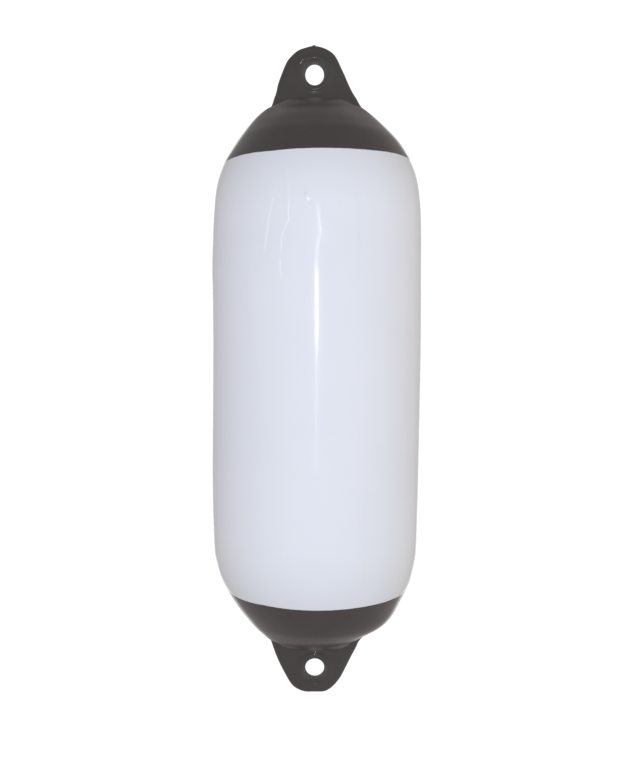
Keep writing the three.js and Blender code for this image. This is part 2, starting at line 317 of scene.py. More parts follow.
# ------------------------------------------------------------------ surface nets
def surface_net(f, lo, hi, h):
    n = [int(math.ceil((hi[i] - lo[i]) / h)) for i in range(3)]
    ax = [lo[i] + h * np.arange(n[i] + 1) for i in range(3)]
    X, Y, Z = ax[0][:, None, None], ax[1][None, :, None], ax[2][None, None, :]
    V = np.asarray(f(X, Y, Z), float)
    V = np.where(np.abs(V) < 1e-9, 1e-9, V)
    S = V < 0
    acc = np.zeros((n[0], n[1], n[2], 3), np.float32)
    cnt = np.zeros((n[0], n[1], n[2]), np.int16)
    edges = []
    for d in range(3):
        a = [slice(None)] * 3
        b = [slice(None)] * 3
        a[d], b[d] = slice(0, -1), slice(1, None)
        v0, v1 = V[tuple(a)], V[tuple(b)]
        m = S[tuple(a)] != S[tuple(b)]
        I, J, K = np.nonzero(m)
        t = v0[m] / (v0[m] - v1[m])
        P = np.stack([ax[0][I], ax[1][J], ax[2][K]], 1)
        P[:, d] += t * h
        o = [k for k in range(3) if k != d]
        idx = np.stack([I, J, K], 1)
        cells = []
        for s0 in (0, -1):
            for s1 in (0, -1):
                c = idx.copy()
                c[:, o[0]] += s0
                c[:, o[1]] += s1
                ok = ((c >= 0) & (c < np.array(n))).all(1)
                cc = c[ok]
                np.add.at(acc, (cc[:, 0], cc[:, 1], cc[:, 2]), P[ok].astype(np.float32))
                np.add.at(cnt, (cc[:, 0], cc[:, 1], cc[:, 2]), 1)
                cells.append((c, ok))
        edges.append((cells, S[tuple(a)][m], d))
    active = cnt > 0
    number = np.full(cnt.shape, -1)
    number[active] = np.arange(active.sum())
    verts = acc[active] / cnt[active][:, None]
    quads = []
    for cells, s, d in edges:
        ok = cells[0][1] & cells[1][1] & cells[2][1] & cells[3][1]
        q = [number[tuple(c[ok].T)] for c, _ in cells]
        # order round the edge: (0,0) (0,-1) (-1,-1) (-1,0)
        ring = np.stack([q[0], q[1], q[3], q[2]], 1)
        flip = s[ok] if d != 1 else ~s[ok]
        ring[flip] = ring[flip][:, ::-1]
        quads.append(ring)
    return verts.astype(float), np.vstack(quads)


def gradient(f, p, e=0.15):
    x, y, z = p.T
    return np.stack([
        (f(x + e, y, z) - f(x - e, y, z)), (f(x, y + e, z) - f(x, y - e, z)),
        (f(x, y, z + e) - f(x, y, z - e))], 1) / (2 * e)


def settle(f, p, steps=3, limit=0.6):
    for _ in range(steps):
        g = gradient(f, p)
        v = f(*p.T)
        step = -(v / np.maximum((g * g).sum(1), 0.05))[:, None] * g
        length = np.linalg.norm(step, axis=1, keepdims=True)
        p = p + step * np.minimum(1, limit / np.maximum(length, 1e-9))
    return p


def relax(f, p, quads, rounds=3):
    """Evens the vertices out along the surface, with the open edge held."""
    e = np.vstack([quads[:, [0, 1]], quads[:, [1, 2]], quads[:, [2, 3]], quads[:, [3, 0]]])
    n = len(p)
    count = np.bincount(e.ravel(), minlength=n)[:, None]
    low, high = e.min(1).astype(np.int64), e.max(1).astype(np.int64)
    _, back, times = np.unique(low * n + high, return_inverse=True, return_counts=True)
    free = np.ones((n, 1))
    free[e[times[back.ravel()] == 1].ravel()] = 0
    for _ in range(rounds):
        total = np.stack([np.bincount(e[:, 0], p[e[:, 1], k], n) + np.bincount(e[:, 1], p[e[:, 0], k], n)
                          for k in range(3)], 1)
        move = total / np.maximum(count, 1) - p
        g = gradient(f, p)
        g /= np.maximum(np.linalg.norm(g, axis=1, keepdims=True), 1e-9)
        move -= (move * g).sum(1, keepdims=True) * g
        p = p + 0.5 * free * move
        moved = settle(f, p, 1, 0.3)
        p = np.where(free > 0, moved, p)
    return p


def tris_of(quads, verts):
    """Splits each quad along its shorter diagonal."""
    a, b, c, d = (verts[quads[:, i]] for i in range(4))
    ac = ((a - c) ** 2).sum(1) <= ((b - d) ** 2).sum(1)
    q = quads
    t1 = np.where(ac[:, None], q[:, [0, 1, 2]], q[:, [0, 1, 3]])
    t2 = np.where(ac[:, None], q[:, [0, 2, 3]], q[:, [1, 2, 3]])
    return np.vstack([t1, t2])


def boundary_loop(tris):
    """The one open edge loop, in face order."""
    e = np.vstack([tris[:, [0, 1]], tris[:, [1, 2]], tris[:, [2, 0]]])
    key = {}
    for a, b in e:
        key[(int(a), int(b))] = True
    nxt = {a: b for (a, b) in key if (b, a) not in key}
    start = next(iter(nxt))
    loop = [start]
    while nxt[loop[-1]] != start:
        loop.append(nxt[loop[-1]])
        if len(loop) > len(nxt) + 1:
            break
    if len(loop) != len(nxt):
        raise RuntimeError("open loops: %d of %d" % (len(loop), len(nxt)))
    return loop


def zipper(loop, angle_a, ring, angle_b):
    """Triangles between two loops that both turn the same way, by rising angle."""
    n, m = len(loop), len(ring)
    i0 = int(np.argmin(np.abs(np.angle(np.exp(1j * (angle_a - angle_b[0]))))))
    A = np.unwrap(np.roll(angle_a, -i0))
    A = np.concatenate([A, [A[0] + 2 * np.pi]])
    B = np.unwrap(angle_b)
    B = np.concatenate([B, [B[0] + 2 * np.pi]])
    B += 2 * np.pi * round((A[0] - B[0]) / (2 * np.pi))
    L = [loop[(i0 + k) % n] for k in range(n + 1)]
    R = [ring[k % m] for k in range(m + 1)]
    i = j = 0
    out = []
    while i < n or j < m:
        if j == m or (i < n and A[i + 1] <= B[j + 1]):
            out.append((L[i], L[i + 1], R[j]))
            i += 1
        else:
            out.append((L[i], R[j + 1], R[j]))
            j += 1
    return out


# ------------------------------------------------------------------ skin: body grid
def crease_relief(x, z):
    """Height of the creases over the smooth skin: a straight narrow wall, with a long easy lead on each side."""
    out = np.zeros(np.broadcast(x, z).shape)
    for points, wall, width, gaps in CREASES:
        p = np.array(points)
        zz = np.linspace(p[-1, 1], p[0, 1], 200)
        xs = np.interp(z, zz, pchip(p[::-1, 1], p[::-1, 0], zz))
        t = (p[0, 1] - z) / (p[0, 1] - p[-1, 1])
        fade = smoothstep(t / 0.10) * smoothstep((1 - t) / 0.16)
        for gap, half in gaps:
            fade = fade * smoothstep((np.abs(z - gap) - half) / 1.6)
        turn = np.degrees(np.arcsin(np.clip((2.7 - xs) / 104.3, -0.9, 0.9))) + (5.0 - xs) * 0.0533 + wall
        drop = np.tan(np.radians(turn)) * width
        u = (x - xs) / width
        step = np.clip(u + 0.5, 0, 1)
        # ease the wall's foot and head over a fifth of its width
        e = 0.12
        step = np.where(np.abs(u + 0.5) < e, (u + 0.5 + e) ** 2 / (4 * e), step)
        step = np.where(np.abs(u - 0.5) < e, 1 - (0.5 + e - u) ** 2 / (4 * e), step)
        lead = np.exp(-np.clip(-u - 0.5, 0, None) * width / 7.0)
        back = np.exp(-np.clip(u - 0.5, 0, None) * width / 6.0)
        out += fade * drop * (0.5 - step) * np.where(u < 0, lead, back)
    return out


def swell_relief(x, z):
    out = np.zeros(np.broadcast(x, z).shape)
    for cx, cz, wx, wz, h in SWELLS:
        out += h * np.exp(-((x - cx) / wx) ** 2 - ((z - cz) / wz) ** 2)
    return out


def body_offset(angle, z):
    """Small unevenness of the inflated skin, mm outwards."""
    f = 0.10 * np.sin(3 * angle + z / 61.0) + 0.08 * np.sin(5 * angle - z / 47.0 + 1.1)
    ends = smoothstep((-72.0 - z) / 40.0) * smoothstep((z + 540.0) / 40.0)
    x = 104.3 * np.cos(angle) + 2.7
    front = np.sin(angle) < -0.2
    return ends * f - 0.22 + np.where(front, crease_relief(x, z) + swell_relief(x, z), 0.0)


def body_grid():
    # Rings from the top cut to the bottom cut, closer together near the creases.
    z1 = np.arange(TOP_CUT - 1.8, -114.0, -3.0)
    z2 = np.arange(z1[-1] - 2.0, -218.0, -2.0)
    z3 = np.linspace(z2[-1] - 5.0, -455.0, 40)
    z4 = np.arange(-459.0, BOTTOM_CUT + 2.2, -3.2)
    z = np.concatenate([z1, z2, z3, z4, [BOTTOM_CUT + 1.8]])
    if z[-2] - z[-1] < 1.0:
        z = np.delete(z, -2)
    # Facets closer together on the creased front.
    a = np.linspace(0, 2 * np.pi, 2001)
    x = 104.3 * np.cos(a) + 2.7
    front = (np.sin(a) < 0).astype(float)
    weight = 1 + front * (0.9 * np.exp(-((x + 8) / 40) ** 2) + 5.0 * smoothstep((x + 49.5) / 3) * smoothstep((-20.5 - x) / 3))
    cum = np.concatenate([[0], np.cumsum(0.5 * (weight[1:] + weight[:-1]))])
    angle = np.interp(np.linspace(0, cum[-1], 321)[:-1], cum, a)
    A, Z = np.meshgrid(angle, z)
    r = radius(Z)
    off = body_offset(A, Z)
    near = smoothstep(np.minimum(TOP_CUT - 2 - Z, Z - BOTTOM_CUT - 2) / 8.0)
    r = r + off * near
    return np.stack([shift(Z) + r * np.cos(A), r * np.sin(A), Z], 2), angle, z


def build_skin():
    cell = 1.22
    # The grids start where neither face of the eyes' rings lies close to a plane of cell corners.
    vt, qt = surface_net(f_top, (-82, -81.74, TOP_CUT), (82, 84, 31.5), cell)
    vt = relax(f_top, settle(f_top, vt), qt)
    vb, qb = surface_net(lambda x, y, z: f_bottom(x, y, -z), (-70, -69.54, -BOTTOM_CUT), (74, 70, 622), cell)
    vb[:, 2] *= -1
    qb = qb[:, ::-1]
    vb = relax(f_bottom, settle(f_bottom, vb), qb)
    tt, tb = tris_of(qt, vt), tris_of(qb, vb)
    grid, angle, zr = body_grid()
    rings, seg = grid.shape[:2]
    gv = grid.reshape(-1, 3)
    index = np.arange(rings * seg).reshape(rings, seg)
    quads = np.stack([index[:-1], index[1:], np.roll(index[1:], -1, 1), np.roll(index[:-1], -1, 1)], 2).reshape(-1, 4)
    tg = tris_of(quads, gv)
    ng, nt = len(gv), len(vt)
    verts = np.vstack([gv, vt, vb])
    tris = [tg, tt + ng, tb + ng + nt]

    def ang(ids, cx):
        return np.arctan2(verts[ids, 1], verts[ids, 0] - cx)

    for part, off, ring, zc in ((tt, ng, index[0], TOP_CUT), (tb, ng + nt, index[-1], BOTTOM_CUT)):
        loop = [k + off for k in boundary_loop(part)]
        cx = float(shift(np.array(zc)))
        a = ang(loop, cx)
        turn = np.sign(np.sum(np.angle(np.exp(1j * np.diff(np.concatenate([a, a[:1]]))))))
        if turn < 0:
            loop = loop[::-1]
            a = a[::-1]
        strip = np.array(zipper(loop, a, list(ring), ang(ring, cx)))
        mid = verts[strip].mean(1)
        nrm = np.cross(verts[strip[:, 1]] - verts[strip[:, 0]], verts[strip[:, 2]] - verts[strip[:, 0]])
        out = mid - np.array([cx, 0, -305.0])
        wrong = (nrm[:, :2] * out[:, :2]).sum(1) < 0
        if wrong.mean() > 0.5:
            strip = strip[:, ::-1]
        tris.append(strip)
    tris = np.vstack(tris)
    return verts, tris


def mesh_object(name, verts, tris, smooth=True):
    me = bpy.data.meshes.new(name)
    me.vertices.add(len(verts))
    me.vertices.foreach_set("co", (np.asarray(verts) * MM).astype(np.float32).ravel())
    me.loops.add(len(tris) * 3)
    me.loops.foreach_set("vertex_index", np.asarray(tris, np.int32).ravel())
    me.polygons.add(len(tris))
    me.polygons.foreach_set("loop_start", np.arange(0, 3 * len(tris), 3, dtype=np.int32))
    me.update(calc_edges=True)
    me.validate()
    if smooth:
        me.polygons.foreach_set("use_smooth", np.ones(len(me.polygons), bool))
    ob = bpy.data.objects.new(name, me)
    bpy.context.scene.collection.objects.link(ob)
    return ob


verts, tris = build_skin()
# Outward check by the enclosed volume.
a, b, c = (verts[tris[:, i]] for i in range(3))
volume = (a * np.cross(b, c)).sum() / 6
if volume < 0:
    tris = tris[:, ::-1]
skin = mesh_object("fender_skin_moulded", verts, tris)
print("skin triangles", len(tris), "litres", round(abs(volume) / 1e6, 3))


# ------------------------------------------------------------------ materials
def new_material(name):
    m = bpy.data.materials.new(name)
    m.use_nodes = True
    nt = m.node_tree
    nt.nodes.clear()
    out = nt.nodes.new("ShaderNodeOutputMaterial")
    bsdf = nt.nodes.new("ShaderNodeBsdfPrincipled")
    nt.links.new(bsdf.outputs[0], out.inputs[0])
    return m, nt, bsdf


class Net:
    """Short calls for building node chains."""

    def __init__(self, nt):
        self.nt = nt

    def node(self, kind, **inputs):
        n = self.nt.nodes.new(kind)
        for k, v in inputs.items():
            self.put(n, k, v)
        return n

    def put(self, n, key, v):
        socket = n.inputs[key if not isinstance(key, str) or not key.startswith("i") or not key[1:].isdigit() else int(key[1:])]
        if isinstance(v, bpy.types.NodeSocket):
            self.nt.links.new(v, socket)
        else:
            socket.default_value = v

    def math(self, op, a, b=None, c=None, clamp=False):
        n = self.nt.nodes.new("ShaderNodeMath")
        n.operation = op
        n.use_clamp = clamp
        for i, v in enumerate((a, b, c)):
            if v is not None:
                self.put(n, "i%d" % i, v)
        return n.outputs[0]

    def mix(self, fac, a, b):
        n = self.nt.nodes.new("ShaderNodeMix")
        n.data_type = "RGBA"
        self.put(n, "i0", fac)
        self.put(n, "i6", a)
        self.put(n, "i7", b)
        return n.outputs[2]

    def ramp(self, v, lo, hi, a=0.0, b=1.0, smooth=True):
        n = self.nt.nodes.new("ShaderNodeMapRange")
        n.interpolation_type = "SMOOTHSTEP" if smooth else "LINEAR"
        n.clamp = True if not smooth else n.clamp
        self.put(n, "i0", v)
        for i, x in enumerate((lo, hi, a, b)):
            self.put(n, "i%d" % (i + 1), x)
        return n.outputs[0]

    def noise(self, vector, scale, detail=2.0, rough=0.5):
        n = self.nt.nodes.new("ShaderNodeTexNoise")
        self.put(n, "Vector", vector)
        n.inputs["Scale"].default_value = scale
        n.inputs["Detail"].default_value = detail
        n.inputs["Roughness"].default_value = rough
        return n.outputs[0]

    def scaled(self, vector, s):
        n = self.nt.nodes.new("ShaderNodeMapping")
        self.put(n, "Vector", vector)
        n.inputs["Scale"].default_value = s
        return n.outputs[0]


# Small flats on the front faces: X, z, turn of the long side, half-length, half-width (mm and degrees), slope in X and z,
# and how much smoother (above 0) or duller (below 0) they are.
FLATS = [(-12.3, 10.5, 45.0, 2.5, 0.95, -0.014, 0.207, 0.20), (-5.8, -134.6, 112.0, 3.3, 0.75, -0.056, 0.076, -0.6)]


def vinyl_material():
    m, nt, bsdf = new_material("soft_vinyl")
    k = Net(nt)
    pos = nt.nodes.new("ShaderNodeTexCoord").outputs["Object"]
    xyz = nt.nodes.new("ShaderNodeSeparateXYZ")
    nt.links.new(pos, xyz.inputs[0])
    X, Y, Z = xyz.outputs
    # Height of the dark dip's edge at each end, tilted a little and slightly wavy.
    wave = k.math("MULTIPLY", k.math("SUBTRACT", k.noise(pos, 16.0, 1.0, 0.4), 0.5), 0.0035)
    fine = k.math("MULTIPLY", k.math("SUBTRACT", k.noise(pos, 120.0, 2.0, 0.5), 0.5), 0.0006)
    wob = k.math("ADD", wave, fine)
    top_edge = k.math("ADD", k.math("ADD", k.math("MULTIPLY", X, 0.01425), k.math("MULTIPLY", Y, 0.0100)), -0.0880)
    bot_edge = k.math("ADD", k.math("ADD", k.math("MULTIPLY", X, -0.0031), k.math("MULTIPLY", Y, 0.0481)), -0.50925)
    above = k.math("SUBTRACT", Z, k.math("ADD", top_edge, wob))
    below = k.math("SUBTRACT", k.math("ADD", bot_edge, wob), Z)
    over = k.math("MAXIMUM", above, below)
    dark = k.ramp(over, -0.0003, 0.0003)
    # White: even, with faint cloudiness and a few handling marks.
    cloud = k.noise(pos, 9.0, 3.0, 0.55)
    flow = k.noise(k.scaled(pos, (60.0, 60.0, 7.0)), 1.0, 2.0, 0.5)
    white = k.mix(k.ramp(cloud, 0.35, 0.7), (0.800, 0.800, 0.798, 1), (0.775, 0.778, 0.780, 1))
    white = k.mix(k.ramp(flow, 0.62, 0.80, 0.0, 0.22), white, (0.74, 0.742, 0.742, 1))
    # The white is greyer towards the dark ends.
    greyer_towards_ends = k.ramp(over, -0.060, -0.004, 0.0, 0.55)
    white = k.mix(greyer_towards_ends, white, (0.70, 0.695, 0.69, 1))
    specks = k.ramp(k.noise(pos, 420.0, 1.0, 0.5), 0.765, 0.80, 0.0, 0.22)
    white = k.mix(specks, white, (0.50, 0.49, 0.47, 1))
    # Charcoal: warm dark grey, a shade uneven, rubbed paler on the lugs' rims.
    tone = k.ramp(k.noise(pos, 22.0, 3.0, 0.6), 0.3, 0.75)
    black = k.mix(tone, (0.0468, 0.0380, 0.0332, 1), (0.0550, 0.0456, 0.0402, 1))
    geo = nt.nodes.new("ShaderNodeNewGeometry")
    edge = k.ramp(geo.outputs["Pointiness"], 0.515, 0.60)
    rub = k.math("MULTIPLY", edge, k.ramp(k.noise(pos, 150.0, 3.0, 0.65), 0.42, 0.70))
    black = k.mix(k.math("MULTIPLY", rub, 0.45), black, (0.095, 0.088, 0.084, 1))
    # The dip thins at its very edge and lets a little white through.
    thin = k.math("MULTIPLY", k.ramp(over, 0.0002, 0.0018, 1.0, 0.0), k.ramp(k.noise(pos, 300.0, 2.0, 0.5), 0.35, 0.75))
    black = k.mix(k.math("MULTIPLY", thin, 0.25), black, (0.16, 0.155, 0.16, 1))
    # Inside the eyes the vinyl is painted a paler grey: painted light where the throat would otherwise sit in shade.
    top_r = k.math("SQRT", k.math("ADD", k.math("MULTIPLY", X, X), k.math("MULTIPLY", Z, Z)))
    low = k.math("ADD", Z, -BOTTOM_EYE_Z * MM)
    low_r = k.math("SQRT", k.math("ADD", k.math("MULTIPLY", X, X), k.math("MULTIPLY", low, low)))
    eye_r = k.math("MINIMUM", top_r, low_r)
    inside = k.math("MULTIPLY", k.ramp(eye_r, 0.0120, 0.0150, 1.0, 0.0), k.ramp(k.math("ABSOLUTE", Y), 0.0075, 0.0100, 1.0, 0.0))
    black = k.mix(k.math("MULTIPLY", inside, 0.80), black, (0.150, 0.138, 0.130, 1))
    # Painted light: the top shoulder's upper faces are painted a shade paler, as if lit more strongly from above.
    out = k.ramp(k.math("ABSOLUTE", Y), 0.0100, 0.0150)
    shoulder_top_painted_light = k.math("MULTIPLY", out, k.ramp(Z, -0.041, -0.029))
    black = k.mix(k.math("MULTIPLY", shoulder_top_painted_light, 0.75), black, (0.088, 0.075, 0.070, 1))
    k.put(bsdf, "Base Color", k.mix(dark, white, black))
    # Gloss: polished vinyl, a little duller where it has been handled.
    smear = k.noise(k.scaled(pos, (14.0, 14.0, 5.0)), 1.0, 3.0, 0.6)
    rough = k.ramp(smear, 0.3, 0.75, 0.092, 0.130)
    rough = k.math("ADD", rough, k.math("MULTIPLY", specks, 0.5))
    rough = k.math("ADD", rough, k.math("MULTIPLY", dark, k.ramp(smear, 0.3, 0.7, 0.0, 0.05)))
    # The shoulders are duller, where the lines and the hands have rubbed them.
    shoulder = k.math("MAXIMUM", k.ramp(Z, -0.056, -0.034), k.ramp(Z, -0.560, -0.545, 1.0, 0.0))
    rough = k.math("ADD", rough, k.math("MULTIPLY", k.math("MULTIPLY", out, shoulder), 0.20))
    # Inside the eyes the rope has rubbed the gloss away.
    throat = k.ramp(eye_r, 0.0108, 0.0138, 1.0, 0.0)
    rough = k.math("ADD", rough, k.math("MULTIPLY", throat, 0.42))
    rough = k.math("ADD", rough, k.math("MULTIPLY", rub, 0.12))
    bsdf.inputs["IOR"].default_value = 1.50
    # Relief: the dip's film edge, faint flow lines and fine moulding texture.
    film = k.math("MULTIPLY", k.ramp(over, -0.0004, 0.0005), 0.00012)
    peel = k.math("MULTIPLY", k.noise(pos, 260.0, 1.0, 0.4), 0.0000045)
    lines = k.math("MULTIPLY", k.noise(k.scaled(pos, (90.0, 90.0, 6.0)), 1.0, 1.0, 0.4), 0.000012)
    height = k.math("ADD", film, k.math("ADD", peel, lines))
    # Small flats left by the mould on the front faces.
    facing = k.ramp(Y, -0.0045, -0.0035, 1.0, 0.0)
    for mx, mz, turn, along, across, gx, gz, gloss in FLATS:
        c, sn = math.cos(math.radians(turn)), math.sin(math.radians(turn))
        dx, dz = k.math("SUBTRACT", X, mx * MM), k.math("SUBTRACT", Z, mz * MM)
        u = k.math("ADD", k.math("MULTIPLY", dx, c), k.math("MULTIPLY", dz, sn))
        v = k.math("ADD", k.math("MULTIPLY", dx, -sn), k.math("MULTIPLY", dz, c))
        window = k.math("MULTIPLY", k.ramp(k.math("ABSOLUTE", u), along * MM, (along + 2.0) * MM, 1.0, 0.0),
                        k.ramp(k.math("ABSOLUTE", v), across * MM, (across + 1.2) * MM, 1.0, 0.0))
        plane = k.math("ADD", k.math("MULTIPLY", dx, gx), k.math("MULTIPLY", dz, gz))
        rough = k.math("MULTIPLY", rough, k.math("MULTIPLY_ADD", k.math("MULTIPLY", window, facing), -gloss, 1.0))
        height = k.math("ADD", height, k.math("MULTIPLY", k.math("MULTIPLY", plane, window), facing))
    bump = nt.nodes.new("ShaderNodeBump")
    bump.inputs["Strength"].default_value = 1.0
    bump.inputs["Distance"].default_value = 1.0
    nt.links.new(height, bump.inputs["Height"])
    nt.links.new(bump.outputs[0], bsdf.inputs["Normal"])
    k.put(bsdf, "Roughness", rough)
    return m


def plastic_material(name, base, worn, roughness, grain):
    m, nt, bsdf = new_material(name)
    k = Net(nt)
    pos = nt.nodes.new("ShaderNodeTexCoord").outputs["Object"]
    tone = k.ramp(k.noise(pos, 320.0, 3.0, 0.6), 0.3, 0.7)
    geo = nt.nodes.new("ShaderNodeNewGeometry")
    edge = k.ramp(geo.outputs["Pointiness"], 0.52, 0.62)
    shade = tuple(v * 0.82 for v in base[:3]) + (1,)
    colour = k.mix(tone, base, shade)
    k.put(bsdf, "Base Color", k.mix(k.math("MULTIPLY", edge, 0.6), colour, worn))
    k.put(bsdf, "Roughness", k.ramp(k.noise(pos, 500.0, 2.0, 0.5), 0.3, 0.7, roughness - 0.05, roughness + 0.08))
    bump = nt.nodes.new("ShaderNodeBump")
    bump.inputs["Strength"].default_value = 1.0
    bump.inputs["Distance"].default_value = 1.0
    nt.links.new(k.math("MULTIPLY", k.noise(pos, grain, 2.0, 0.5), 0.00002), bump.inputs["Height"])
    nt.links.new(bump.outputs[0], bsdf.inputs["Normal"])
    return m


skin.data.materials.append(vinyl_material())
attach(skin, "root")
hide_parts("fender_skin")

bush_mat = plastic_material("bush_plastic", (0.022, 0.022, 0.023, 1), (0.075, 0.075, 0.075, 1), 0.42, 1800.0)
screw_mat = plastic_material("screw_plastic", (0.62, 0.62, 0.60, 1), (0.74, 0.74, 0.72, 1), 0.36, 1800.0)


# ------------------------------------------------------------------ valve
def lathe(profile, segments):
    """Closed turned form about the local axis: (radius, height) from axis to axis."""
    v, t = [], []
    ring_of = []
    for r, h in profile:
        if r < 1e-6:
            ring_of.append([len(v)])
            v.append((0.0, 0.0, h))
        else:
            ring_of.append(list(range(len(v), len(v) + segments)))
            for i in range(segments):
                a = 2 * math.pi * i / segments
                v.append((r * math.cos(a), r * math.sin(a), h))
    for p, q in zip(ring_of[:-1], ring_of[1:]):
        for i in range(segments):
            j = (i + 1) % segments
            if len(p) == 1:
                t.append((p[0], q[j], q[i]))
            elif len(q) == 1:
                t.append((p[i], p[j], q[0]))
            else:
                t.append((p[i], p[j], q[j]))
                t.append((p[i], q[j], q[i]))
    return np.array(v), np.array(t)


def arc(cr, ch, r, a0, a1, n):
    return [(cr + r * math.cos(math.radians(a0 + (a1 - a0) * i / n)),
             ch + r * math.sin(math.radians(a0 + (a1 - a0) * i / n))) for i in range(n + 1)]


def to_valve_frame(v):
    c, s = math.cos(VALVE_TILT), math.sin(VALVE_TILT)
    x, y, z = v.T
    return np.stack([x + VALVE_P[0], y * c + z * s + VALVE_P[1], -y * s + z * c + VALVE_P[2]], 1)


fl_bottom, fl_top = 1.3, 3.1
bush_profile = (
    [(1.6, -16.0)] + [(5.4, -16.0), (7.0, -13.8), (5.9, -13.4), (7.0, -10.2), (5.9, -9.8), (7.0, -6.6), (6.2, -6.2),
                      (6.2, fl_bottom)]
    + arc(9.9, fl_bottom + 0.3, 0.3, -90, 0, 3) + arc(9.6, fl_top - 0.6, 0.6, 0, 90, 5)
    # A shallow groove in the flange's face, then the mouth of the screw's bore.
    + arc(8.2, fl_top, 0.45, 0, -180, 6) + [(6.3, fl_top)] + arc(3.7 + 0.5, fl_top - 0.5, 0.5, 90, 180, 4)
    + [(3.7, -11.0), (1.6, -12.0)])
bv, bt = [], []
seg = 64
n = len(bush_profile)
for r, h in bush_profile:
    for i in range(seg):
        a = 2 * math.pi * i / seg
        bv.append((r * math.cos(a), r * math.sin(a), h))
for k in range(n):
    for i in range(seg):
        j = (i + 1) % seg
        p, q = k * seg, ((k + 1) % n) * seg
        bt += [(p + i, p + j, q + j), (p + i, q + j, q + i)]
bv, bt = np.array(bv), np.array(bt)
bush = mesh_object("valve_body_moulded", to_valve_frame(bv), bt)
bush.data.materials.append(bush_mat)
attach(bush, "root")
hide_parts("valve_body")

# Screw plug: a knurled head with a slot, on a threaded shank.
hb = fl_top + 0.3
ht = hb + 2.2
sv, st = [], []
seg = 96
prof = [(0.0, hb - 11.0), (2.3, hb - 11.0), (2.9, hb - 10.4)]
z = hb - 10.0
while z < hb - 0.9:
    prof += [(2.95, z), (3.4, z + 0.35), (3.4, z + 0.5), (2.95, z + 0.85)]
    z += 1.2
prof += [(2.95, hb)] + arc(5.35, hb + 0.25, 0.25, -90, 0, 3) + arc(5.1, ht - 0.5, 0.5, 0, 90, 5) + [(2.5, ht), (0.0, ht)]
pv, pt = lathe(prof, seg)
rad = np.hypot(pv[:, 0], pv[:, 1])
ang = np.arctan2(pv[:, 1], pv[:, 0])
knurl = np.where((rad > 5.3) & (pv[:, 2] > hb + 0.2), 0.14 * (np.cos(24 * ang) - 1), 0)
pv[:, 0] *= 1 + knurl / np.maximum(rad, 1)
pv[:, 1] *= 1 + knurl / np.maximum(rad, 1)
plug = mesh_object("valve_plug_moulded", to_valve_frame(pv), pt)
cutter_v = np.array([(x, y, zz) for x in (-8, 8) for y in (-0.7, 0.7) for zz in (ht - 1.2, ht + 1.5)], float)
cutter_f = np.array([(0, 1, 3), (0, 3, 2), (4, 6, 7), (4, 7, 5), (0, 4, 5), (0, 5, 1), (2, 3, 7), (2, 7, 6), (0, 2, 6), (0, 6, 4), (1, 5, 7), (1, 7, 3)])
cutter = mesh_object("slot_cutter", to_valve_frame(cutter_v), cutter_f, smooth=False)
mod = plug.modifiers.new("slot", "BOOLEAN")
mod.object = cutter
mod.operation = "DIFFERENCE"
mod.solver = "EXACT"
bpy.context.view_layer.update()
dg = bpy.context.evaluated_depsgraph_get()
cut = bpy.data.meshes.new_from_object(plug.evaluated_get(dg))
plug.modifiers.clear()
plug.data = cut
bpy.data.objects.remove(cutter, do_unlink=True)
plug.data.materials.clear()
plug.data.materials.append(screw_mat)
for ob in (bush, plug):
    ob.data.polygons.foreach_set("use_smooth", np.ones(len(ob.data.polygons), bool))
    bpy.context.view_layer.objects.active = ob
    ob.data.set_sharp_from_angle(angle=math.radians(35))
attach(plug, "root")
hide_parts("valve_plug")


# ------------------------------------------------------------------ studio
HUB = (0.0, 0.0, -0.30)
FLOOR_Z = -1.80


